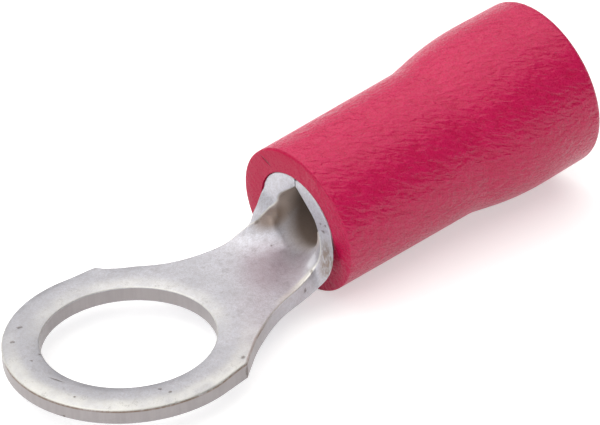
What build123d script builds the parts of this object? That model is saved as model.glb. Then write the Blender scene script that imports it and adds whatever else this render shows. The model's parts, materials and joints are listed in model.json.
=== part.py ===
from build123d import *
import math
import os

# Insulated ring terminal: a stamped and rolled copper terminal in a vinyl sleeve.
# Millimetres. The origin is the axis of the stud hole on the underside of the ring.
# +Z is up that axis and +X runs along the terminal to the wire entry.

# Stamped sheet
sheet = 0.55                # thickness of the tinned copper
edge_round = 0.05           # rollover that the press leaves along the top of the sheared edges

# Ring
stud_hole_d = 5.2           # clears an M5 stud
ring_d = 7.46

# Neck, measured on the flat blank and outwards from the ring's rim, where its sides begin to curl up
corner_angle = 66.0         # where the flank meets the ring in a corner, from +X
corner_reach = 0.12         # that the corner stands out
flank_angle = 39.5          # of the flank's straight start, to the terminal's length
waist_reach = 1.87          # narrowest point of the blank
waist_width = 3.40
near_horn_reach = 2.19      # the blank widens from here to the mouth, on the side towards -Y
far_horn_reach = 2.49       # and on the side towards +Y
horn_width = 4.50

# Barrel, rolled from the same sheet
barrel_d = 3.2
barrel_wall = 0.66          # the sheet thickens as it is rolled
barrel_length = 4.9
far_curl_reach = 2.52       # the side towards +Y is round before the mouth, the other side at it
far_power = 5.0             # the curl of that side tightens with this power of the way
near_power = 4.2
bend_reach = 1.94           # undersides of ring and barrel meet here
bend_tangent = 0.90         # from that point to either end of the bend
settle_power = 3.0          # wall thickness and seam turn come in with this power of the way
barrel_pitch = 4.85         # degrees that the barrel points up from the ring
seam_turn = 6.0             # degrees that the seam lies off the top, towards -Y
seam_gap = 0.04             # between the butted ends of the sheet
seam_straight = 37.0        # degrees at either end of the sheet that the rolls leave straight
seam_notch = 0.12           # depth of the groove that the two ends leave outside
entry_chamfer = 0.15        # round the rear end of the bore
chamfer_angle = 45.0

# Sections that the rolled sheet is lofted through, as shares of each stretch
neck_sections = (0, 0.2, 0.4, 0.6, 0.8, 0.9, 1)     # start of the curl to the near horn
horn_sections = (0, 0.33, 0.67, 1)                  # near horn to far horn, far horn to mouth

# Sleeve, from its front face at the mouth of the barrel
sleeve_clearance = 0.02     # between barrel and sleeve, on the radius
front_wall = 0.755
front_skew = 1.7            # degrees that the front is cut off square, proud towards +Y
draft = 0.045               # that the straight part widens, on the radius
barrel_cover = 0.45         # straight length left behind the barrel
flare_length = 1.75
flare_rise = 0.34           # on the radius
root_share = 0.08           # share of the flare's slope that its first bend takes
top_share = 0.55            # and its second
rear_length = 2.72          # behind the flare
rear_wall = 0.72
rim_fall = 0.04             # that the rear part narrows to its end, on the radius
entry_round = 0.12          # inner edge of the wire entry
rim_round = 0.22            # outer edge of the rear end
face_round = 0.05           # outer edge of the front face

os.makedirs("parts", exist_ok=True)

pitch = math.radians(barrel_pitch)
hole_r = stud_hole_d / 2
ring_r = ring_d / 2
curl_start_x = ring_r
waist_x = ring_r + waist_reach
near_horn_x = ring_r + near_horn_reach
far_horn_x = ring_r + far_horn_reach
far_curl_end_x = ring_r + far_curl_reach
bend_x = ring_r + bend_reach
barrel_r = barrel_d / 2
bore_r = barrel_r - barrel_wall
middle_r = barrel_r - barrel_wall / 2   # neutral line of the rolled sheet

# Underside of the sheet, from the start of the curl to the mouth of the barrel
with BuildLine(Plane.XZ) as underside:
    level = Line((curl_start_x, 0), (bend_x - bend_tangent, 0))
    JernArc(level @ 1, level % 1, bend_tangent / math.tan(pitch / 2), barrel_pitch)
path = underside.wire()
mouth_x = curl_start_x + path.length    # along the sheet

# Mouth of the barrel, seen along the barrel from the ring: x is +Y, y is up
mouth_up = Vector(-math.sin(pitch), 0, math.cos(pitch))
mouth = Plane(path @ 1 + mouth_up * barrel_r, x_dir=(0, 1, 0), z_dir=path % 1)
barrel_axis = Axis(mouth.origin, mouth.z_dir)
seam_plane = Plane(mouth.origin, x_dir=mouth.x_dir.rotate(barrel_axis, seam_turn), z_dir=mouth.z_dir)

# Flank of the neck: straight from the corner on the ring, then one arc to the waist, parallel to X there
corner = Vector(ring_r + corner_reach, 0).rotate(Axis.Z, corner_angle)
flank_turn = math.radians(flank_angle)
flank_bend = waist_x - corner.X - (corner.Y - waist_width / 2) / math.tan(flank_turn)
flank_r = flank_bend / math.tan(flank_turn / 2)
arc_start = Vector(waist_x, waist_width / 2 + flank_r) - Vector(0, flank_r).rotate(Axis.Z, -flank_angle)
root_y = waist_width / 2 + flank_r - math.sqrt(flank_r**2 - (waist_x - curl_start_x) ** 2)
ring_tangent = corner_angle + math.degrees(math.acos(ring_r / (ring_r + corner_reach)))


def half_width(x, horn_x):
    """Half the width of the flat blank, from the start of the curl to the mouth."""
    if x < waist_x:
        return waist_width / 2 + flank_r - math.sqrt(flank_r**2 - (waist_x - x) ** 2)
    widening = max(0, x - horn_x) / (mouth_x - horn_x)
    return (waist_width + (horn_width - waist_width) * widening) / 2


def sheet_point(along, up, radius, thickness):
    """Point of a rolled section: along its neutral line from the middle, and up from its underside."""
    reach = radius + thickness / 2 - up
    return reach * math.sin(along / radius), radius + thickness / 2 - reach * math.cos(along / radius)


far_side = (1, far_horn_x, far_curl_end_x, far_power)
near_side = (-1, near_horn_x, mouth_x, near_power)


def rolled_section(share):
    """Section across the sheet, at a share of the way from the start of the curl to the mouth.

    It is two arcs that meet at the middle of the underside, and its ends are square to the sheet.
    """
    x = curl_start_x + share * path.length
    thickness = sheet + (barrel_wall - sheet) * share**settle_power
    turn = math.radians(seam_turn) * middle_r * share**settle_power
    with BuildLine(Plane(path @ share, x_dir=(0, 1, 0), z_dir=path % share)) as section:
        for side, horn_x, end_x, power in far_side, near_side:
            half = side * half_width(x, horn_x) + turn
            curl = min(1, (x - curl_start_x) / (end_x - curl_start_x)) ** power
            if curl == 0:
                under = Line((0, 0), (half, 0))
                over = Line((0, thickness), (half, thickness))
            else:
                radius = middle_r / curl
                arc = (0, half / 2, half)
                under = ThreePointArc([sheet_point(a, 0, radius, thickness) for a in arc])
                over = ThreePointArc([sheet_point(a, thickness, radius, thickness) for a in arc])
            Line(under @ 1, over @ 1)
    return Face(section.wire())


with BuildPart() as terminal_body:
    # Ring. The punch rounds the top edges of its rim and its hole, and leaves the lower ones sharp.
    with BuildSketch():
        Circle(ring_r)
        Circle(hole_r, mode=Mode.SUBTRACT)
    extrude(amount=sheet)
    fillet(terminal_body.edges().group_by(Axis.Z)[-1], edge_round)

    # Flat root of the neck, from the middle of the ring's band, with the corners that stand out from the rim
    with BuildSketch():
        with BuildLine():
            side = Line(Vector(ring_r, 0).rotate(Axis.Z, ring_tangent), corner)
            flank = Line(side @ 1, arc_start)
            bend = RadiusArc(flank @ 1, (curl_start_x, root_y), -flank_r)
            mirror([side, flank, bend], about=Plane.XZ)
            Line(bend @ 1, (curl_start_x, -root_y))
            Line(side @ 0, ((side @ 0).X, -(side @ 0).Y))
        make_face()
        Circle((hole_r + ring_r) / 2, mode=Mode.SUBTRACT)
    extrude(amount=sheet)

    # Curling neck, then the two horns that widen to the barrel
    near_start = (near_horn_x - curl_start_x) / path.length
    far_start = (far_horn_x - curl_start_x) / path.length
    stretches = (
        (0, near_start, neck_sections),
        (near_start, far_start, horn_sections),
        (far_start, 1, horn_sections),
    )
    for start, end, sections in stretches:
        loft([rolled_section(start + (end - start) * part) for part in sections])

    # Barrel: a round bore that comes to a point under the seam, where the sheet stays straight
    apex_r = bore_r / math.cos(math.radians(seam_straight))
    ridge_x = bore_r * math.sin(math.radians(seam_straight))
    ridge_y = bore_r * math.cos(math.radians(seam_straight))
    with BuildSketch(seam_plane):
        Circle(barrel_r)
        Circle(bore_r, mode=Mode.SUBTRACT)
        with BuildLine():
            Polyline((0, 0), (-ridge_x, ridge_y), (0, apex_r), (ridge_x, ridge_y), close=True)
        make_face(mode=Mode.SUBTRACT)
        with Locations((0, barrel_r)):
            Rectangle(seam_gap, 2 * barrel_wall, mode=Mode.SUBTRACT)
            RegularPolygon(seam_notch, 4, rotation=90, mode=Mode.SUBTRACT)
    extrude(amount=barrel_length)
    with BuildSketch(mouth.offset(barrel_length)):
        Circle(bore_r + entry_chamfer)
    extrude(amount=-entry_chamfer, taper=chamfer_angle, mode=Mode.SUBTRACT)

terminal_body.part.label = "terminal_body"
export_step(terminal_body.part, "parts/terminal_body.step")

# Sleeve, drawn as half a section along the barrel: x from its front face, y from the axis
sleeve_bore_r = barrel_r + sleeve_clearance
front_r = sleeve_bore_r + front_wall
straight_r = front_r + draft
rear_r = straight_r + flare_rise
entry_r = rear_r - rear_wall
flare_start = barrel_length + barrel_cover
flare_end = flare_start + flare_length
sleeve_length = flare_end + rear_length
front_proud = front_r * math.tan(math.radians(front_skew))
section_plane = Plane(mouth.origin, x_dir=mouth.z_dir, z_dir=(0, -1, 0))
upright = Axis(mouth.origin, mouth.y_dir)
front_plane = Plane(mouth.origin, x_dir=mouth.y_dir, z_dir=mouth.z_dir.rotate(upright, front_skew))


def bend_radii(rise):
    """Radii of the two bends of a flare with this rise, from the shares of its slope that they take."""
    slope = math.hypot(flare_length, rise)
    half_turn = math.atan2(rise, flare_length) / 2
    return [share * slope / math.tan(half_turn) for share in (root_share, top_share)]


with BuildPart() as insulating_sleeve:
    with BuildSketch(section_plane):
        with BuildLine():
            outside = FilletPolyline(
                (-front_proud, front_r),
                (flare_start, straight_r),
                (flare_end, rear_r),
                (sleeve_length, rear_r - rim_fall),
                radius=bend_radii(flare_rise),
            )
            inside = FilletPolyline(
                (-front_proud, sleeve_bore_r),
                (flare_start, sleeve_bore_r),
                (flare_end, entry_r),
                (sleeve_length, entry_r),
                radius=bend_radii(entry_r - sleeve_bore_r),
            )
            Line(outside @ 0, inside @ 0)
            Line(outside @ 1, inside @ 1)
        make_face()
        fillet(vertices().group_by(Axis.X)[-1].sort_by(Axis.Y)[-1], rim_round)
        fillet(vertices().group_by(Axis.X)[-1].sort_by(Axis.Y)[0], entry_round)
    revolve(axis=barrel_axis)
    split(bisect_by=front_plane)
    front_face = insulating_sleeve.faces().sort_by(Axis.X)[0]
    fillet(front_face.outer_wire().edges(), face_round)

insulating_sleeve.part.label = "insulating_sleeve"
export_step(insulating_sleeve.part, "parts/insulating_sleeve.step")
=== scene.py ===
import json
import math
from functools import reduce

import bmesh
import bpy
from mathutils import Matrix, Vector


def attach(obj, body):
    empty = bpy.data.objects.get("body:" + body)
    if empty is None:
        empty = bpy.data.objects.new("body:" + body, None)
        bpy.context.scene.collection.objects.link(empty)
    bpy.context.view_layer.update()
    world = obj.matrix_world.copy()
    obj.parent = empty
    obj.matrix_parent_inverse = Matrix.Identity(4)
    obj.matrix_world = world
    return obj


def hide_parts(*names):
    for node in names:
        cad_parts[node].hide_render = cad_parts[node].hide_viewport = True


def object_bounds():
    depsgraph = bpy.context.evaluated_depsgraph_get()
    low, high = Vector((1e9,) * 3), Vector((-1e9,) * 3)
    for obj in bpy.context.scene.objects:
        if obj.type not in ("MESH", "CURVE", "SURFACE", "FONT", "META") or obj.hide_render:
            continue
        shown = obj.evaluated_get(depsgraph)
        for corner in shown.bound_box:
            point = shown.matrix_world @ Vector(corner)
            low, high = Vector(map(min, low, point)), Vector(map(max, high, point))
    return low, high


bl_info = {
    "name": "Ring terminal",
    "version": (1, 0, 0),
    "blender": (4, 5, 0),
    "location": "3D View > Sidebar > Terminal",
    "description": "Dresses the packed ring terminal: tinned ring, vinyl sleeve and studio",
    "category": "Object",
}

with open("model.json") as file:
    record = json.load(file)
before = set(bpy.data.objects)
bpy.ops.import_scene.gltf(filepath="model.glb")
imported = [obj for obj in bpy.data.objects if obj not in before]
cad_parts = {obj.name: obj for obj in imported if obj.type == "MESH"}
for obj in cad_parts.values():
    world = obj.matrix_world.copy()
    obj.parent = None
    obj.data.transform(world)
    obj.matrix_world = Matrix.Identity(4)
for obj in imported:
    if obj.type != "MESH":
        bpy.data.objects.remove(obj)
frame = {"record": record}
cad_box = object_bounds()
mounts = {mount["name"]: mount for mount in frame["record"]["mounts"]}

MM = 0.001
AXIS = Vector(mounts["wire_barrel"]["axis"]).normalized()       # along the barrel, to the wire entry
BARREL_LENGTH = mounts["wire_barrel"]["dims"]["length_mm"]
MOUTH = Vector(mounts["wire_barrel"]["pos_m"]) - AXIS * (BARREL_LENGTH * MM) / 2
PITCH = math.asin(AXIS.z)
UP = Vector((-AXIS.z, 0, AXIS.x))
# Barrel frame: x is +Y, y is up and z runs from the mouth to the wire entry
BARREL_FRAME = Matrix.Translation(MOUTH) @ Matrix(((0, UP.x, AXIS.x), (1, 0, 0), (0, UP.z, AXIS.z))).to_4x4()

# The flat blank of the metal, in millimetres: x runs from the middle of the hole to the wire entry, y to the
# terminal's far side and z up through the sheet
RING_SIDES, NECK_SIDES = 120, 22        # the neck's sides are counted each way from the middle
EAR_SIDES = 6                           # sides of the ring over which its rim runs straight to the ear
STEP = math.tau / RING_SIDES
SHEET, WALL = 0.55, 0.66                # thickness of the sheet, flat and rolled
HOLE, BAND, RIM, EAR = 2.60, 3.20, 3.73, 3.86           # radii of the ring, and of the ears at the neck
INNER_RINGS = (HOLE, 2.68, 2.76, 2.86, 2.97, 3.08, BAND)
OUTER_RINGS = (0.23, 0.43, 0.60, 0.75, 0.88, 1.0)       # as shares of the way from the band to the rim
WAIST, WAIST_HALF = 5.60, 1.70                          # narrowest place of the neck, and half its width
FLANK_ANGLE, FLANK_R, FLANK_STEPS = math.radians(39.5), 5.10, 18
NECK_ROWS_START, NECK_ROWS, NECK_END = 4.0, 26, 6.569   # the neck ends at the mouth
FAR_HORN, NEAR_HORN, HORN_HALF = 6.10, 5.92, 2.25       # where it widens, and half its width at the mouth
SEAM_HALF, WING_STEPS = 3.97, 13         # half the width across the barrel's wings, and the steps of a wing

# How the blank is rolled up
PATH = NECK_END - RIM                   # from the rim to the mouth
BARREL_R = 1.60
MIDDLE_R = BARREL_R - WALL / 2
BEND_START, BEND_R = 1.04, 0.90 / math.tan(PITCH / 2)
# The far side is round before the mouth, and the near side at it
FAR_CURL_END, FAR_POWER, NEAR_POWER = 2.52, 5.0, 4.2
SEAM_TURN = math.radians(6)             # that the seam lies off the top
SEAM_FLAT, MOUTH_FLAT = 37, 8           # degrees left straight at the seam, and how many more at the mouth
PINCH, PINCH_X = 0.26, 6.22             # how thin the far horn is pinched, and where

# Places on the blank of what the photo shows on the metal
# Middle of the pink patch on the neck, partly bloomed tin and partly a painted reflection of the red sleeve
BLOOM_AND_REFLECTION = (5.5, -0.3, SHEET)
NEAR_HORN_STAIN = (6.24, -1.98, 0.2)
FAR_WALL_STAIN = (6.35, 1.60, SHEET)
# Painted highlight on the near wall at the barrel's mouth
PAINTED_HIGHLIGHT_SPOT = (6.12, -1.40, SHEET)
SCRATCH, SCRATCH_WAY = (-2.91, -0.42, SHEET), (0.31, -0.95, 0)
CREASE = (1.74, -3.40, 0.30)
# Marks on the top and on the walls, with x, y and size
TOP_MARKS = ((-2.11, 2.50, 0.06), (-2.71, 2.03, 0.06), (-2.87, 0.87, 0.04), (-1.01, -2.83, 0.04),
             (-0.89, -3.14, 0.04), (1.75, -3.19, 0.07), (5.82, -1.63, 0.06), (6.02, 1.69, 0.07))
WALL_MARKS = ((6.55, -2.59, 0.04), (6.55, -2.32, 0.05), (5.4, -1.60, 0.05))
WALL_MARK_HEIGHT = 0.28
RAGGED = 0.16                           # how far noise pulls the outlines of the marks about
# A nick in the sleeve's front face, in the barrel's own coordinates
NICK, NICK_WAY = (-0.03, 1.16, 1.67), Vector((0, 0.9, 0.435))

LAMP_WATTS = 0.12                       # of a lamp at strength 1
LAMPS_AIM = Vector((0.006, 0, 0))
IMAGE_CENTRE = (300, 212.5)             # in pixels


def length(name, default, description):
    return bpy.props.FloatProperty(name=name, default=default, description=description, unit="LENGTH",
                                   precision=6)


def strength(name, default, description):
    return bpy.props.FloatProperty(name=name, default=default, description=description, min=0)


def colour(name, default, description):
    return bpy.props.FloatVectorProperty(name=name, default=default, description=description, subtype="COLOR",
                                         size=3, min=0, max=1)


class MetalSettings(bpy.types.PropertyGroup):
    tin: colour("Tin", (0.535, 0.535, 0.585), "Matt tin plating")
    sheared: colour("Sheared edge", (0.37, 0.34, 0.345), "Walls that the punch cut")
    # Painted highlight: a pale colour laid on the top edges and on the shoulders that lean towards the front
    # light
    edge_highlight: colour("Edge highlight", (0.80, 0.79, 0.73), "Painted highlight on edges and shoulders")
    # Pink on the neck: partly bloomed tin, partly a painted reflection of the red sleeve
    bloom_and_reflection: colour("Bloom and reflection", (0.36, 0.28, 0.325), "Pinkish bloom on the curled neck")
    # Painted light: a light brown, lighter than the tin, laid just inside the barrel's mouth; further in it
    # turns to painted shade
    inside_light_and_shade: colour("Lit inside", (0.70, 0.59, 0.51), "Matt light brown tin with painted light, just inside the barrel")
    # Brown for the stains on the near horn and the far wall, also used for painted shade far inside the
    # barrel and a painted shadow line under the rim's top edge
    stain_and_shade: colour("Stain and shade", (0.25, 0.17, 0.12),
                  "Brown stain in the barrel, on the near horn and under the rim's edge")
    grime: colour("Grime", (0.10, 0.07, 0.05), "Dirt in the pits")
    hole_round: length("Hole rounding", 0.04 * MM, "Roll of the top edge into the stud hole")
    edge_round: length("Edge rounding", 0.06 * MM, "Roll along the other top edges")


class SleeveSettings(bpy.types.PropertyGroup):
    vinyl: colour("Vinyl", (0.61, 0.005, 0.090), "Red vinyl")
    # Painted shade: a darker red for the troughs between the wrinkles and for the nick in the front face
    recess_shade: colour("Deep red", (0.54, 0.002, 0.066), "Darker red between the wrinkles")
    cut: colour("Cut face", (0.49, 0.006, 0.055), "Front face, where the tube was cut")
    front_radius: length("Front radius", 2.375 * MM, "Outside, at the front face")
    straight_radius: length("Straight radius", 2.42 * MM, "Outside, where the flare begins")
    rear_radius: length("Rear radius", 2.76 * MM, "Outside, where the flare ends")
    rim_radius: length("Rim radius", 2.72 * MM, "Outside, at the rear end")
    bore_radius: length("Bore radius", 1.62 * MM, "Inside, over the barrel")
    entry_radius: length("Entry radius", 2.04 * MM, "Inside, at the wire entry")
    flare_start: length("Flare start", 5.35 * MM, "From the front face")
    flare_end: length("Flare end", 7.10 * MM, "From the front face")
    overall: length("Length", 9.82 * MM, "Length of the sleeve")
    skew: bpy.props.FloatProperty(name="Front skew", default=math.radians(1.7), subtype="ANGLE",
                                  description="Lean of the front face, its +Y side stands out")
    wrinkle: length("Wrinkles", 0.040 * MM, "Depth of the wrinkled skin")


class StudioSettings(bpy.types.PropertyGroup):
    sky: strength("Sky", 1.0, "Strength of the soft light all round")
    key: strength("Key lamp", 0.3, "Strength of the lamp overhead")
    fill: strength("Fill lamp", 0.8, "Strength of the lamp in front")
    floor_size: length("Floor", 2.0, "Side of the floor")


# Node helpers

def put(tree, kind, inputs=None, **settings):
    """A node with its settings, and its inputs linked or set."""
    node = tree.nodes.new(kind)
    for name, value in settings.items():
        setattr(node, name, value)
    for name, value in (inputs or {}).items():
        if isinstance(value, bpy.types.NodeSocket):
            tree.links.new(value, node.inputs[name])
        else:
            node.inputs[name].default_value = value
    return node


def calc(tree, operation, a, b, clamp=False):
    return put(tree, "ShaderNodeMath", {0: a, 1: b}, operation=operation, use_clamp=clamp).outputs[0]


def times(tree, *values):
    return reduce(lambda a, b: calc(tree, "MULTIPLY", a, b), values)


def total(tree, *values):
    return reduce(lambda a, b: calc(tree, "ADD", a, b), values)


def reckon(tree, operation, a, b=(0, 0, 0), result="Vector"):
    """Vector maths, where b is a number for a scale."""
    second = "Scale" if operation == "SCALE" else 1
    return put(tree, "ShaderNodeVectorMath", {0: a, second: b}, operation=operation).outputs[result]


def fade(tree, value, low, high, start=0.0, end=1.0):
    """Smooth step of a value from start to end, between low and high."""
    node = put(tree, "ShaderNodeMapRange",
               {"Value": value, "From Min": low, "From Max": high, "To Min": start, "To Max": end},
               interpolation_type="SMOOTHSTEP")
    return node.outputs["Result"]


def blend(tree, share, a, b):
    node = put(tree, "ShaderNodeMix", {"Factor": share}, data_type="RGBA")
    for socket, value in ((node.inputs[6], a), (node.inputs[7], b)):
        if isinstance(value, bpy.types.NodeSocket):
            tree.links.new(value, socket)
        else:
            socket.default_value = (*value, 1.0)
    return node.outputs[2]


def scaled(shade, share):
    return [share * part for part in shade]


def noise(tree, place, scale, detail, roughness, distortion=0.0):
    node = put(tree, "ShaderNodeTexNoise", {"Vector": place, "Scale": scale, "Detail": detail,
                                            "Roughness": roughness, "Distortion": distortion})
    return node.outputs["Fac"]


def attribute(tree, name, result="Fac"):
    return put(tree, "ShaderNodeAttribute", attribute_name=name).outputs[result]


def split(tree, vector):
    return put(tree, "ShaderNodeSeparateXYZ", {"Vector": vector}).outputs


def row_place(tree, location=(0, 0, 0), pitch=0.0, scale=(1 / MM, 1 / MM, 1 / MM)):
    """Object coordinates, which are the row's, moved, turned about Y and scaled."""
    object_place = put(tree, "ShaderNodeTexCoord").outputs["Object"]
    return put(tree, "ShaderNodeMapping", {"Vector": object_place, "Location": location,
                                           "Rotation": (0, pitch, 0), "Scale": scale}).outputs["Vector"]


def barrel_place(tree):
    """Place from the barrel's mouth, in millimetres: x along it, y is +Y, z is up."""
    return row_place(tree, -(Matrix.Rotation(PITCH, 3, "Y") @ MOUTH / MM), PITCH)


def stretched(tree, vector, way, share):
    """Pattern coordinates in which a pattern runs longer along this direction."""
    along = reckon(tree, "DOT_PRODUCT", vector, way, "Value")
    return reckon(tree, "ADD", vector, reckon(tree, "SCALE", way, times(tree, along, share - 1)))


def near(tree, vector, place, inner, outer):
    """1 within the inner distance of a place, and 0 beyond the outer."""
    return fade(tree, reckon(tree, "DISTANCE", vector, place, "Value"), outer, inner)


def new_material(name):
    material = bpy.data.materials.new(name)
    material.use_nodes = True
    tree = material.node_tree
    tree.nodes.clear()
    return material, tree


# Materials

class BlankPatterns:
    """What the layers of the metal read: places on the flat blank, its cut walls, and the noise patterns."""

    def __init__(self, tree):
        self.place = attribute(tree, "blank", "Vector")
        self.x = split(tree, self.place)["X"]
        self.cut = attribute(tree, "cut")                       # 0 on the sheet's two faces, 1 on its walls
        self.faces = fade(tree, self.cut, 0.6, 0.2)
        self.height = attribute(tree, "sheet_height")           # 0 on the underside, 1 on top
        self.flank = attribute(tree, "flank")                   # distance to the near flank, in millimetres
        self.blotches = noise(tree, self.place, 1.5, 4.0, 0.6)
        self.grain = noise(tree, self.place, 8.0, 4.0, 0.65)
        self.speckle = noise(tree, self.place, 22.0, 2.0, 0.6)


def plated(tree, blank, settings):
    """Matt tin, and the walls that the punch sheared, with the faint striations that it leaves."""
    wall = times(tree, fade(tree, blank.cut, 0.80, 0.95), fade(tree, blank.x, 6.2, 5.6))
    streaks = noise(tree, row_place(tree, scale=(7000, 7000, 700)), 1.0, 3.0, 0.6)
    mottle = total(tree, times(tree, blank.grain, 0.45), times(tree, blank.speckle, 0.55))
    neckward_tone = total(tree, blank.blotches, times(tree, blank.x, 0.05))        # lighter towards the neck
    tin = blend(tree, fade(tree, neckward_tone, 0.25, 0.85), scaled(settings.tin, 0.90), scaled(settings.tin, 1.2))
    tin = blend(tree, fade(tree, mottle, 0.60, 0.40, 0.0, 0.42), tin, settings.sheared)
    sheared = blend(tree, fade(tree, streaks, 0.30, 0.70), settings.sheared, scaled(settings.sheared, 0.92))
    sheared = blend(tree, fade(tree, blank.x, 2.2, 4.8, 0.0, 0.7), sheared, tin)
    return blend(tree, wall, tin, sheared), wall, streaks


def stains_and_painted_light(tree, blank, base, settings):
    """Pink on the neck, partly bloomed tin and partly a painted reflection of the sleeve, brown tin in the
    barrel with painted light near the mouth and painted shade further in, and stains and a painted highlight
    at its mouth.
    """
    # Pink patch on the neck: partly bloomed tin, partly a painted reflection of the red sleeve
    bloom_and_reflection = times(tree, near(tree, blank.place, BLOOM_AND_REFLECTION, 0.4, 1.8),
                  fade(tree, blank.blotches, 0.25, 0.7, 0.3, 1.0))
    base = blend(tree, times(tree, bloom_and_reflection, 0.75), base, settings.bloom_and_reflection)

    barrel = split(tree, barrel_place(tree))
    off_axis = put(tree, "ShaderNodeCombineXYZ", {"Y": barrel["Y"], "Z": barrel["Z"]}).outputs[0]
    inside = times(tree, fade(tree, reckon(tree, "LENGTH", off_axis, result="Value"), 1.25, 1.1),
                   fade(tree, barrel["X"], -0.5, 0.2), blank.faces)
    # Painted shade: the inside darkens further in, and the floor of the barrel darkens nearer the mouth than
    # its roof does
    recess_shade = fade(tree, calc(tree, "SUBTRACT", barrel["X"], times(tree, barrel["Z"], 0.75)), 0.15, 1.12)
    # Painted light near the mouth, turning to painted shade further into the barrel
    inside_light_and_shade = blend(tree, recess_shade, settings.inside_light_and_shade, scaled(settings.stain_and_shade, 0.66))
    inside_tint_share = calc(tree, "MAXIMUM", fade(tree, barrel["Z"], -0.8, -0.2), recess_shade)
    base = blend(tree, times(tree, inside, inside_tint_share, 0.9), base, inside_light_and_shade)

    horn = times(tree, near(tree, blank.place, NEAR_HORN_STAIN, 0.15, 0.5),
                 fade(tree, blank.grain, 0.35, 0.6))
    base = blend(tree, times(tree, horn, 0.8), base, settings.stain_and_shade)
    far_wall = times(tree, near(tree, blank.place, FAR_WALL_STAIN, 0.2, 0.65), blank.faces)
    base = blend(tree, times(tree, far_wall, 0.8), base, settings.stain_and_shade)
    # Painted highlight: a near-white spot on the near wall at the barrel's mouth
    painted_highlight = times(tree, near(tree, blank.place, PAINTED_HIGHLIGHT_SPOT, 0.12, 0.34), 0.8)
    return blend(tree, painted_highlight, base, (0.95, 0.95, 1.0)), inside


def painted_edge_light_and_shadow(tree, blank, base, settings):
    """Painted highlights on the top edges and on the shoulders that lean towards the front light, and a
    painted shadow line on the rim's wall under its top edge.
    """
    off_wall = fade(tree, blank.cut, 0.85, 0.4)
    # Painted highlight along the rounded top edges
    edge = times(tree, fade(tree, blank.cut, 0.004, 0.06), off_wall, fade(tree, blank.height, 0.4, 0.8))
    base = blend(tree, times(tree, edge, 0.6), base, settings.edge_highlight)

    # Painted highlight on the shoulders that lean towards the front light: the hole's margin on the far side,
    # the rim's margin on the near side and the near flank
    reach = reckon(tree, "LENGTH", reckon(tree, "MULTIPLY", blank.place, (1, 1, 0)), result="Value")
    front = reckon(tree, "DOT_PRODUCT", blank.place, (-0.61, -0.79, 0), "Value")
    front = calc(tree, "DIVIDE", front, reach)
    hole_margin = times(tree, fade(tree, front, 0.3, -0.5), fade(tree, reach, 3.25, 2.75))
    rim_margin = times(tree, fade(tree, front, -0.3, 0.5, 0.0, 1.5), fade(tree, reach, 3.10, 3.50))
    flank = times(tree, fade(tree, blank.flank, 0.26, 0.12), fade(tree, blank.x, 3.9, 4.9),
                  fade(tree, blank.x, 6.1, 5.8), 2.2)
    shoulder_highlight = calc(tree, "MAXIMUM", calc(tree, "MAXIMUM", hole_margin, rim_margin), flank)
    patches = fade(tree, blank.blotches, 0.25, 0.7, 0.13, 0.40)
    shoulder_highlight = calc(tree, "MULTIPLY", times(tree, shoulder_highlight, off_wall), patches, clamp=True)
    base = blend(tree, shoulder_highlight, base, settings.edge_highlight)

    # Painted shadow: a dark brown line on the rim's wall just under its rolled top edge
    under = times(tree, fade(tree, blank.height, 0.80, 0.88), fade(tree, blank.height, 0.99, 0.94),
                  fade(tree, blank.cut, 0.3, 0.6), fade(tree, blank.blotches, 0.30, 0.5),
                  fade(tree, blank.x, 4.2, 2.8), fade(tree, reach, 2.9, 3.3),
                  fade(tree, blank.grain, 0.30, 0.55, 0.45, 0.95))
    return blend(tree, under, base, scaled(settings.stain_and_shade, 0.8))


def pitted(tree, blank, base, settings):
    """Grey scuffs, pits and specks, a scratch, and the crease in the corner at the near ear."""
    cells = put(tree, "ShaderNodeTexVoronoi", {"Vector": blank.place, "Scale": 1.3, "Randomness": 1.0})
    pit = fade(tree, total(tree, cells.outputs["Distance"], times(tree, blank.grain, 0.12)), 0.125, 0.09)
    scratch = stretched(tree, reckon(tree, "SUBTRACT", blank.place, SCRATCH), SCRATCH_WAY, 0.12)
    marks = [times(tree, near(tree, scratch, (0, 0, 0), 0.01, 0.05), fade(tree, blank.grain, 0.30, 0.5))]
    pull = put(tree, "ShaderNodeTexNoise", {"Vector": blank.place, "Scale": 9.0}).outputs["Color"]
    ragged = reckon(tree, "ADD", blank.place, reckon(tree, "SCALE", pull, RAGGED))
    for height, places in ((SHEET, TOP_MARKS), (WALL_MARK_HEIGHT, WALL_MARKS)):
        for x, y, size in places:
            middle = [part + RAGGED / 2 for part in (x, y, height)]
            marks.append(near(tree, ragged, middle, 0.6 * size, 1.7 * size))
    crease = stretched(tree, reckon(tree, "SUBTRACT", ragged, CREASE), (0, 0, 1), 0.25)
    marks.append(near(tree, crease, (0, 0, 0), 0.03, 0.10))
    for mark in marks:
        pit = calc(tree, "MAXIMUM", pit, mark)

    scuffs = times(tree, fade(tree, noise(tree, blank.place, 3.0, 5.0, 0.75), 0.53, 0.64, 0.0, 0.40),
                   blank.faces, fade(tree, blank.speckle, 0.42, 0.58))
    base = blend(tree, scuffs, base, scaled(settings.sheared, 0.6))
    return blend(tree, times(tree, pit, 0.60), base, settings.grime), pit


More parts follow.
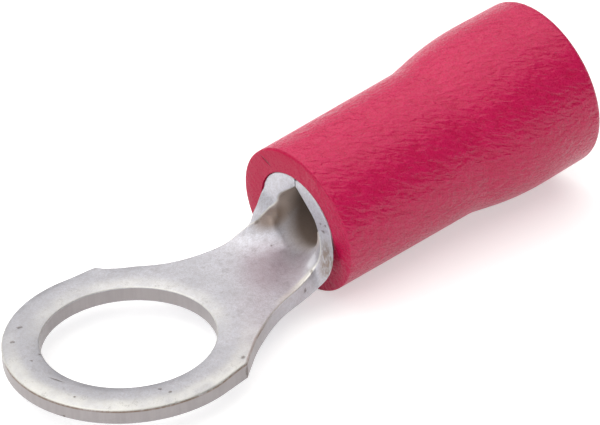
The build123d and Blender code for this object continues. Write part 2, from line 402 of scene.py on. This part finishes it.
def tinned_metal(settings):
    material, tree = new_material("tinned_metal")
    blank = BlankPatterns(tree)
    base, wall, streaks = plated(tree, blank, settings)
    base, inside = stains_and_painted_light(tree, blank, base, settings)
    base = painted_edge_light_and_shadow(tree, blank, base, settings)
    base, pit = pitted(tree, blank, base, settings)

    # The punch tore the lower half of the walls
    torn = times(tree, blank.grain, wall, fade(tree, blank.height, 0.5, 0.2), 1.6)
    relief = total(tree, times(tree, blank.grain, 0.6), times(tree, blank.blotches, 1.2),
                   times(tree, blank.speckle, 0.5), times(tree, pit, -0.8), torn,
                   times(tree, streaks, wall, 0.3))
    bump = put(tree, "ShaderNodeBump", {"Height": relief, "Strength": 0.7, "Distance": 0.012 * MM})
    shader = put(tree, "ShaderNodeBsdfPrincipled", {
        "Base Color": base, "Normal": bump.outputs["Normal"],
        "Metallic": calc(tree, "SUBTRACT", 0.65, times(tree, inside, 0.6)),
        "Roughness": fade(tree, blank.blotches, 0.3, 0.7, 0.36, 0.46)})
    put(tree, "ShaderNodeOutputMaterial", {"Surface": shader.outputs[0]})
    return material


def red_vinyl(settings):
    material, tree = new_material("red_vinyl_skin")
    place = barrel_place(tree)

    # Skin: long low folds, slanting wrinkles and a fine grain
    slant = stretched(tree, place, Vector((0.8, -0.39, -0.45)).normalized(), 0.35)
    folds = noise(tree, slant, 2.2, 3.0, 0.55, 0.5)
    wrinkles = noise(tree, slant, 7.0, 3.0, 0.5, 0.5)
    grain = noise(tree, place, 18.0, 3.0, 0.6)
    face = fade(tree, split(tree, place)["X"], 0.10, 0.0)       # the cut front is smoother

    # Darker red where the wrinkles are low: painted shade in their troughs, mixed with random tone from the
    # grain
    tone = total(tree, times(tree, wrinkles, 0.5), times(tree, grain, 0.5))
    base = blend(tree, fade(tree, tone, 0.36, 0.60), settings.recess_shade, settings.vinyl)
    base = blend(tree, times(tree, face, 0.8), base, settings.cut)
    # Painted shade: a dark red streak in the nick of the front face
    nick = stretched(tree, reckon(tree, "SUBTRACT", place, NICK), NICK_WAY, 0.14)
    nick = near(tree, nick, (0, 0, 0), 0.015, 0.045)
    base = blend(tree, times(tree, nick, 0.8), base, scaled(settings.recess_shade, 0.45))

    relief = total(tree, times(tree, wrinkles, 1.7), times(tree, grain, 0.10), times(tree, folds, 1.8))
    relief = times(tree, relief, calc(tree, "SUBTRACT", 1.0, times(tree, face, 0.8)))
    relief = calc(tree, "SUBTRACT", relief, nick)
    bump = put(tree, "ShaderNodeBump", {"Height": relief, "Strength": 1.0, "Distance": settings.wrinkle})
    shader = put(tree, "ShaderNodeBsdfPrincipled", {
        "Base Color": base, "Normal": bump.outputs["Normal"],
        "Specular IOR Level": calc(tree, "SUBTRACT", 0.42, times(tree, face, 0.3)),
        "Roughness": fade(tree, grain, 0.3, 0.7, 0.25, 0.34)})
    put(tree, "ShaderNodeOutputMaterial", {"Surface": shader.outputs[0]})
    return material


def white_floor():
    """Pale floor that is seen as white, with a faint shadow of the object."""
    material, tree = new_material("white_floor")
    rays = put(tree, "ShaderNodeLightPath").outputs
    seen = calc(tree, "MAXIMUM", calc(tree, "MAXIMUM", rays["Is Camera Ray"], rays["Is Glossy Ray"]),
                rays["Is Transmission Ray"])
    matt = put(tree, "ShaderNodeBsdfDiffuse", {"Color": (0.80, 0.80, 0.80, 1)})
    lift = put(tree, "ShaderNodeEmission", {"Strength": times(tree, seen, 0.50)})
    both = put(tree, "ShaderNodeAddShader", {0: matt.outputs[0], 1: lift.outputs[0]})
    put(tree, "ShaderNodeOutputMaterial", {"Surface": both.outputs[0]})
    return material


def soft_sky(world, power):
    """A wide and slightly warm panel overhead, and a dimmer and cooler light all round."""
    world.use_nodes = True
    tree = world.node_tree
    tree.nodes.clear()
    way = put(tree, "ShaderNodeTexCoord").outputs["Generated"]
    towards = reckon(tree, "DOT_PRODUCT", way, Vector((-0.1, 0.3, 0.95)).normalized(), "Value")
    panel = fade(tree, towards, 0.44, 0.64)
    tint = blend(tree, panel, (0.95, 0.95, 1.0), (1.0, 0.985, 0.95))
    light = times(tree, total(tree, times(tree, panel, 1.15), 0.18), power)
    sky = put(tree, "ShaderNodeBackground", {"Color": tint, "Strength": light})
    put(tree, "ShaderNodeOutputWorld", {"Surface": sky.outputs[0]})


# Modelling helpers

def deselect():
    if bpy.context.object and bpy.context.object.mode != "OBJECT":
        bpy.ops.object.mode_set(mode="OBJECT")
    bpy.ops.object.select_all(action="DESELECT")


def finish_piece(piece, material, node):
    """Puts a finished piece in the row's frame, in place of its CAD node."""
    piece.data.materials.clear()
    piece.data.materials.append(material)
    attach(piece, "root")
    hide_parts(node)


def ease(low, high, x):
    share = min(1, max(0, (x - low) / (high - low)))
    return share * share * (3 - 2 * share)


# Outline of the blank

def ear_angle(side):
    return math.radians(67.5 if side > 0 else 64.5)


def half_width(x, side):
    """Half the width of the blank on this side, from the ear on the ring to the mouth of the barrel."""
    arc_start = WAIST - FLANK_R * math.sin(FLANK_ANGLE)
    half = WAIST_HALF + FLANK_R - math.sqrt(FLANK_R ** 2 - (WAIST - min(WAIST, max(x, arc_start))) ** 2)
    half += max(0, arc_start - x) * math.tan(FLANK_ANGLE)
    horn = FAR_HORN if side > 0 else NEAR_HORN
    half += (HORN_HALF - WAIST_HALF) * max(0, x - horn) / (NECK_END - horn)
    # The real neck leans a little towards +Y before the barrel, and its flank there dips behind the ear
    lean = (0.155 * ease(2.9, 4.8, x) - 0.04) * (1 - ease(5.3, 6.5, x))
    dip = 0.10 * (1 - ease(1.9, 2.5, x)) if side > 0 else 0
    return half + (1 if side > 0 else -1) * lean - dip


def polar(radius, turn):
    return radius * math.cos(turn), radius * math.sin(turn)


def turn_of(point):
    return math.atan2(point.y, point.x)


def band_place(share, turn):
    """Point of the ring's outer band, from its inside to the rim, which runs straight to each ear."""
    side = 1 if turn < math.pi else -1
    ear, away = ear_angle(side), abs(turn - (0 if side > 0 else math.tau))
    tangent = ear + math.acos(RIM / EAR)
    first, last = STEP * NECK_SIDES, STEP * (NECK_SIDES + EAR_SIDES)
    if away < last:
        away = ear + (away - first) * (last - ear) / (last - first)
    rim = RIM / math.cos(max(0, tangent - away))
    return polar(BAND + (rim - BAND) * share, side * away)


# Rolling

def crowned(x, y, share_up):
    """Height of a point of the blank: the press leaves the ring's top low along the hole and the rim."""
    reach, turn = math.hypot(x, y), abs(math.atan2(y, x))
    hole = max(0, 1 - (reach - HOLE) / 0.45) ** 2
    rim = max(0, 1 - (RIM - reach) / 0.40) ** 2 * ease(math.radians(68), math.radians(84), turn)
    return share_up * (1 - 0.11 * hole - 0.14 * rim)


def rolled(x, y, share_up):
    """Where a point of the flat blank goes when the neck is curled and the barrel rolled."""
    way = min(max(x - RIM, 0), PATH)
    beyond = max(0, x - NECK_END)
    share = way / PATH
    lean = max(0, way - BEND_START) / BEND_R
    base_x = RIM + min(way, BEND_START) + BEND_R * math.sin(lean) + beyond * math.cos(lean)
    base_z = BEND_R * (1 - math.cos(lean)) + beyond * math.sin(lean)
    thick = SHEET + (WALL - SHEET) * share ** 3
    # The far horn is pinched thin at its inner edge
    share_up *= 1 - PINCH * (1 - ease(0.04, 0.32, abs(x - PINCH_X))) * ease(1.35, 1.75, y)
    along = y + SEAM_TURN * MIDDLE_R * share ** 3
    end, power = (FAR_CURL_END, FAR_POWER) if along > 0 else (PATH, NEAR_POWER)
    curl = min(1, way / end) ** power
    if x <= RIM:
        return Vector((x, y, crowned(x, y, share_up) * SHEET)) * MM
    if curl < 1e-6:
        across, up = along, share_up * thick
    else:
        radius = MIDDLE_R / curl
        reach = radius + thick / 2 - share_up * thick
        to_seam = math.pi - abs(y) / MIDDLE_R
        straight = math.radians(SEAM_FLAT + MOUTH_FLAT * (1 - ease(0, 0.8, beyond)))
        if x > NECK_END - 0.01 and to_seam < straight:
            # The rolls leave the sheet's ends straight inside, so the bore is pointed under the seam
            inner = (BARREL_R - WALL) / math.cos(straight - max(to_seam, 0))
            reach = BARREL_R - share_up * (BARREL_R - inner)
        across = reach * math.sin(along / radius)
        up = radius + thick / 2 - reach * math.cos(along / radius)
    return Vector((base_x - up * math.sin(lean), across, base_z + up * math.cos(lean))) * MM


# Drawing the blank

def extrude_row(piece, key, places):
    """Extrudes the selected edges and puts the new vertices, in this order, at these places of the blank."""
    bpy.ops.mesh.extrude_region_move()
    mesh = bmesh.from_edit_mesh(piece.data)
    row = sorted((vertex for vertex in mesh.verts if vertex.select), key=key)
    if len(row) != len(places):
        raise RuntimeError(f"a row of the blank has {len(row)} points and not {len(places)}")
    for vertex, (x, y) in zip(row, places):
        vertex.co = Vector((x, y, 0)) * MM
    bmesh.update_edit_mesh(piece.data)


def select_edges(piece, test):
    """Selects only the blank's open edges that pass a test on both ends and the middle, in millimetres."""
    bpy.ops.mesh.select_all(action="DESELECT")
    mesh = bmesh.from_edit_mesh(piece.data)
    for edge in mesh.edges:
        points = [vertex.co / MM for vertex in edge.verts]
        points.append((points[0] + points[1]) / 2)
        if len(edge.link_faces) < 2 and all(test(point) for point in points):
            edge.select = True
    mesh.select_flush_mode()
    bmesh.update_edit_mesh(piece.data)


def draw_line(piece, start, places):
    """Extrudes the vertex nearest to the start from place to place."""
    bpy.ops.mesh.select_all(action="DESELECT")
    mesh = bmesh.from_edit_mesh(piece.data)
    min(mesh.verts, key=lambda vertex: (vertex.co.xy / MM - Vector(start)).length).select = True
    mesh.select_flush_mode()
    bmesh.update_edit_mesh(piece.data)
    for last, place in zip([start, *places], places):
        move = (Vector(place) - Vector(last)) * MM
        bpy.ops.mesh.extrude_vertices_move(TRANSFORM_OT_translate={"value": (move.x, move.y, 0)})


def cut_ring(piece):
    """Draws the ring: circles out to the band, then the outer band from ear to ear round the free end."""
    bpy.ops.mesh.select_mode(type="EDGE")
    bpy.ops.mesh.select_all(action="SELECT")
    for before, after in zip(INNER_RINGS, INNER_RINGS[1:]):
        bpy.ops.mesh.extrude_region_move()
        bpy.ops.transform.resize(value=(after / before, after / before, 1), center_override=(0, 0, 0))
    select_edges(piece, lambda p: p.xy.length > BAND - 0.02 and abs(turn_of(p)) > STEP * NECK_SIDES - 0.001)
    turns = [STEP * count for count in range(NECK_SIDES, RING_SIDES - NECK_SIDES + 1)]
    for share in OUTER_RINGS:
        places = [band_place(share, turn) for turn in turns]
        extrude_row(piece, lambda vertex: turn_of(vertex.co) % math.tau, places)


def cut_neck(piece):
    """Draws the flanks and the row where the curl begins, fills the root, and adds rows up to the mouth."""
    first_x, counts = NECK_ROWS_START, range(-NECK_SIDES, NECK_SIDES + 1)
    bpy.ops.mesh.select_mode(type="VERT")
    for side in (1, -1):
        ear = polar(EAR, side * ear_angle(side))
        line = [ear[0] + (first_x - ear[0]) * i / FLANK_STEPS for i in range(1, FLANK_STEPS + 1)]
        places = [(x, side * half_width(x, side)) for x in line]
        if side > 0:
            places += [(first_x, -count / NECK_SIDES * half_width(first_x, -count)) for count in counts][1:]
        draw_line(piece, ear, places)
    bpy.ops.mesh.select_all(action="SELECT")
    bpy.ops.mesh.remove_doubles(threshold=0.001 * MM)
    bpy.ops.mesh.select_mode(type="EDGE")
    select_edges(piece, lambda p: abs(turn_of(p)) < max(STEP * NECK_SIDES, ear_angle(p.y)) + 0.001
                 and p.xy.length > BAND - 0.02)
    bpy.ops.mesh.edge_face_add()

    select_edges(piece, lambda p: p.x > first_x - 0.001)
    for i in range(1, NECK_ROWS + 1):
        x = first_x + (NECK_END - first_x) * i / NECK_ROWS
        extrude_row(piece, lambda vertex: vertex.co.y,
                    [(x, count / NECK_SIDES * half_width(x, count)) for count in counts])


def cut_barrel(piece):
    """Draws the rows behind the mouth, then the two wings that meet at the seam."""
    first_row = NECK_END + 0.12
    rows = [first_row, *(first_row + 0.52 * i for i in range(1, 10)), NECK_END + BARREL_LENGTH]
    for x in rows:
        extrude_row(piece, lambda vertex: vertex.co.y,
                    [(x, count / NECK_SIDES * HORN_HALF) for count in range(-NECK_SIDES, NECK_SIDES + 1)])
    wing = [HORN_HALF + (SEAM_HALF - 0.15 - HORN_HALF) * i / WING_STEPS for i in range(1, WING_STEPS + 1)]
    for side in (1, -1):
        select_edges(piece, lambda p: side * p.y > HORN_HALF - 0.001 and p.x > NECK_END - 0.001)
        for y in (*wing, SEAM_HALF):
            extrude_row(piece, lambda vertex: vertex.co.x, [(x, side * y) for x in (NECK_END, *rows)])


def cut_blank(piece):
    """Draws the flat blank from the circle of its hole."""
    bpy.ops.object.mode_set(mode="EDIT")
    cut_ring(piece)
    cut_neck(piece)
    cut_barrel(piece)
    bpy.ops.mesh.select_all(action="SELECT")
    bpy.ops.mesh.remove_doubles(threshold=0.001 * MM)
    bpy.ops.mesh.normals_make_consistent(inside=False)
    bpy.ops.object.mode_set(mode="OBJECT")


def edge_width(edge, settings):
    """How wide the rounding of an edge of the blank is, in millimetres."""
    a, b = (vertex.co / MM for vertex in edge.verts)
    middle = (a + b) / 2
    if edge.calc_face_angle(0) < 1.0 or abs(a.z - b.z) > SHEET / 2:
        return 0.0
    on_top = middle.z > SHEET / 2
    if middle.xy.length < HOLE + 0.02:
        return settings.hole_round / MM if on_top else 0.03
    if abs(middle.y) > SEAM_HALF - 0.01:
        return 0.03 if on_top else 0.10
    if middle.x > NECK_END + 4:
        return 0.08
    return settings.edge_round / MM if on_top else 0.03


def round_edges(piece, settings):
    """Gives the blank its thickness and the roundings that the press leaves."""
    thicken = piece.modifiers.new("thickness", "SOLIDIFY")
    thicken.thickness = SHEET * MM
    thicken.offset = 1.0
    bpy.ops.object.modifier_apply(modifier=thicken.name)
    widest = max(settings.hole_round, settings.edge_round, 0.10 * MM)
    mesh = bmesh.new()
    mesh.from_mesh(piece.data)
    lowest = min(vertex.co.z for vertex in mesh.verts)
    for vertex in mesh.verts:
        vertex.co.z -= lowest
    weights = mesh.edges.layers.float.new("bevel_weight_edge")
    for edge in mesh.edges:
        edge[weights] = min(1, edge_width(edge, settings) * MM / widest)
    mesh.to_mesh(piece.data)
    mesh.free()
    rounding = piece.modifiers.new("rounding", "BEVEL")
    rounding.limit_method = "WEIGHT"
    rounding.width = widest
    rounding.segments = 4
    rounding.use_clamp_overlap = False
    bpy.ops.object.modifier_apply(modifier=rounding.name)


def keep(mesh, name, values, kind="FLOAT", domain="POINT"):
    """Stores values of the flat blank, for the material to read."""
    field = "vector" if kind == "FLOAT_VECTOR" else "value"
    mesh.attributes.new(name, kind, domain).data.foreach_set(field, values)


def roll_blank(piece):
    """Keeps each point's place on the blank and each face's lean as attributes, and rolls the blank up."""
    mesh = piece.data
    points = [vertex.co / MM for vertex in mesh.vertices]
    keep(mesh, "cut", [1 - abs(face.normal.z) for face in mesh.polygons], domain="FACE")
    keep(mesh, "sheet_height", [point.z / SHEET for point in points])
    keep(mesh, "blank", [part for point in points for part in point], "FLOAT_VECTOR")
    keep(mesh, "flank", [half_width(min(point.x, NECK_END), -1) + point.y for point in points])
    for vertex, (x, y, z) in zip(mesh.vertices, points):
        vertex.co = rolled(x, y, z / SHEET)


def draw_profile(profile):
    """Makes a mesh of one point and extrudes it along the profile, with points about 0.3 mm apart."""
    bpy.ops.mesh.primitive_circle_add(vertices=3, radius=MM, location=(0, 0, 0))
    bpy.ops.object.mode_set(mode="EDIT")
    bpy.ops.mesh.select_mode(type="VERT")
    bpy.ops.mesh.select_all(action="SELECT")
    bpy.ops.mesh.merge(type="CENTER")
    bpy.ops.transform.translate(value=(profile[0].y, 0, profile[0].x))
    for last, point in zip(profile, profile[1:]):
        far = point - last
        parts = max(1, round(far.length / (0.3 * MM)))
        move = (far.y / parts, 0, far.x / parts)
        for _ in range(parts):
            bpy.ops.mesh.extrude_vertices_move(TRANSFORM_OT_translate={"value": move})


def bend(start, corner, end, reach, steps):
    """Points of the curve that rounds a corner of the profile, from reach before it to reach after."""
    a, b, c = Vector(start), Vector(corner), Vector(end)
    first = b + (a - b).normalized() * reach
    last = b + (c - b).normalized() * reach
    shares = [i / steps for i in range(steps + 1)]
    return [first * (1 - t) ** 2 + b * 2 * t * (1 - t) + last * t * t for t in shares]


def camera_place():
    """Camera as fitted to the photograph: the row's origin lies at this pixel and distance."""
    azimuth, elevation, roll = math.radians(-37.451), math.radians(32.628), math.radians(-3.14)
    distance, focal, across, down = 0.131623, 4500.0, 129.514, 350.344
    back = Vector((math.sin(azimuth) * math.cos(elevation), -math.cos(azimuth) * math.cos(elevation),
                   math.sin(elevation)))
    right = Vector((0, 0, 1)).cross(back).normalized()
    up = back.cross(right)
    right, up = (math.cos(roll) * right + math.sin(roll) * up, math.cos(roll) * up - math.sin(roll) * right)
    place = (back * distance - right * (across - IMAGE_CENTRE[0]) / focal * distance
             + up * (down - IMAGE_CENTRE[1]) / focal * distance)
    turn = Matrix((right, up, back)).transposed().to_4x4()
    return Matrix.Translation(place) @ turn


class TERMINAL_OT_metal(bpy.types.Operator):
    """Cuts the flat blank, rounds its edges, and rolls it into ring, neck and barrel"""
    bl_idname = "terminal.metal"
    bl_label = "Ring and barrel"

    def execute(self, context):
        settings = context.scene.terminal_metal
        deselect()
        bpy.ops.mesh.primitive_circle_add(vertices=RING_SIDES, radius=HOLE * MM)
        piece = context.object
        piece.name = "tinned_terminal"
        bpy.ops.object.transform_apply(location=True, rotation=True, scale=True)
        cut_blank(piece)
        round_edges(piece, settings)
        roll_blank(piece)
        bpy.ops.object.shade_smooth_by_angle(angle=math.radians(50))
        finish_piece(piece, tinned_metal(settings), "terminal_body")
        return {"FINISHED"}


class TERMINAL_OT_sleeve(bpy.types.Operator):
    """Turns the vinyl sleeve from its profile, like the moulded tube"""
    bl_idname = "terminal.sleeve"
    bl_label = "Vinyl sleeve"

    def execute(self, context):
        sleeve = context.scene.terminal_sleeve
        front, rear = (0, sleeve.front_radius), (sleeve.flare_start, sleeve.straight_radius)
        top, rim = (sleeve.flare_end, sleeve.rear_radius), (sleeve.overall, sleeve.rim_radius)
        inner_rim, inner_top = (sleeve.overall, sleeve.entry_radius), (sleeve.flare_end, sleeve.entry_radius)
        inner_root, inner_front = (sleeve.flare_start, sleeve.bore_radius), (0, sleeve.bore_radius)
        # Each corner between its neighbours, with the reach and the steps of its rounding
        corners = [
            (inner_front, front, rear, 0.05 * MM, 3),
            (front, rear, top, 0.15 * MM, 4),
            (rear, top, rim, 0.98 * MM, 12),
            (top, rim, inner_rim, 0.22 * MM, 7),
            (rim, inner_rim, inner_top, 0.12 * MM, 5),
            (inner_rim, inner_top, inner_root, 0.98 * MM, 8),
            (inner_top, inner_root, inner_front, 0.15 * MM, 4),
        ]
        profile = [Vector(inner_front)]
        for corner in corners:
            profile += bend(*corner)
        profile.append(Vector(inner_front))

        deselect()
        draw_profile(profile)
        piece = context.object
        bpy.ops.mesh.select_all(action="SELECT")
        bpy.ops.mesh.spin(steps=192, angle=math.tau, center=(0, 0, 0), axis=(0, 0, 1))
        bpy.ops.mesh.select_all(action="SELECT")
        bpy.ops.mesh.remove_doubles(threshold=0.001 * MM)
        bpy.ops.mesh.normals_make_consistent(inside=False)
        # The front was cut a little askew
        bpy.ops.mesh.select_all(action="DESELECT")
        bpy.ops.object.mode_set(mode="OBJECT")
        for vertex in piece.data.vertices:
            vertex.select = vertex.co.z < 0.1 * MM
        bpy.ops.object.mode_set(mode="EDIT")
        bpy.ops.transform.rotate(value=-sleeve.skew, orient_axis="Y", orient_type="GLOBAL",
                                 center_override=(0, 0, 0))
        bpy.ops.object.mode_set(mode="OBJECT")
        piece.matrix_world = BARREL_FRAME
        bpy.ops.object.transform_apply(location=True, rotation=True, scale=True)
        bpy.ops.object.shade_smooth_by_angle(angle=math.radians(40))
        piece.name = "vinyl_sleeve"
        if len(piece.data.vertices) < 1000:
            raise RuntimeError("the sleeve's profile was not spun")
        finish_piece(piece, red_vinyl(sleeve), "insulating_sleeve")
        return {"FINISHED"}


class TERMINAL_OT_studio(bpy.types.Operator):
    """Adds the floor, the soft light and the camera"""
    bl_idname = "terminal.studio"
    bl_label = "Studio"

    def execute(self, context):
        studio = context.scene.terminal_studio
        scene = context.scene
        deselect()
        bpy.ops.mesh.primitive_plane_add(size=studio.floor_size, location=(0, 0, cad_box[0][2]))
        floor = context.object
        floor.name = "floor"
        bpy.ops.object.transform_apply(location=True, rotation=True, scale=True)
        floor.data.materials.append(white_floor())

        scene.world = bpy.data.worlds.new("studio_sky")
        soft_sky(scene.world, studio.sky)
        for name, place, size, power in (("key_lamp", (-0.03, 0.06, 0.16), 0.16, studio.key),
                                         ("fill_lamp", (-0.13, -0.07, 0.05), 0.2, studio.fill)):
            bpy.ops.object.light_add(type="AREA", location=place)
            lamp = context.object
            lamp.name = name
            lamp.data.shape = "DISK"
            lamp.data.size = size
            lamp.data.energy = LAMP_WATTS * power
            lamp.rotation_euler = (LAMPS_AIM - lamp.location).to_track_quat("-Z", "Y").to_euler()

        bpy.ops.object.camera_add()
        camera = context.object
        camera.name = "camera"
        camera.data.sensor_width = 36.0
        camera.data.lens = 270.0
        camera.data.clip_start = 0.001
        camera.data.clip_end = 10.0
        camera.matrix_world = camera_place()
        scene.camera = camera
        scene.view_settings.view_transform = "Standard"
        return {"FINISHED"}


class TERMINAL_PT_panel(bpy.types.Panel):
    """Lists the pieces and the studio"""
    bl_label = "Ring terminal"
    bl_idname = "TERMINAL_PT_panel"
    bl_space_type = "VIEW_3D"
    bl_region_type = "UI"
    bl_category = "Terminal"

    def draw(self, context):
        for settings, operator in ((context.scene.terminal_metal, "terminal.metal"),
                                   (context.scene.terminal_sleeve, "terminal.sleeve"),
                                   (context.scene.terminal_studio, "terminal.studio")):
            box = self.layout.box()
            for name in settings.__annotations__:
                box.prop(settings, name)
            box.operator(operator)


CLASSES = (MetalSettings, SleeveSettings, StudioSettings, TERMINAL_OT_metal, TERMINAL_OT_sleeve,
           TERMINAL_OT_studio, TERMINAL_PT_panel)


def register():
    for item in CLASSES:
        bpy.utils.register_class(item)
    bpy.types.Scene.terminal_metal = bpy.props.PointerProperty(type=MetalSettings)
    bpy.types.Scene.terminal_sleeve = bpy.props.PointerProperty(type=SleeveSettings)
    bpy.types.Scene.terminal_studio = bpy.props.PointerProperty(type=StudioSettings)


def unregister():
    del bpy.types.Scene.terminal_metal
    del bpy.types.Scene.terminal_sleeve
    del bpy.types.Scene.terminal_studio
    for item in reversed(CLASSES):
        bpy.utils.unregister_class(item)


def main():
    register()
    bpy.ops.terminal.metal()
    bpy.ops.terminal.sleeve()
    bpy.ops.terminal.studio()


if __name__ == "__main__":
    main()
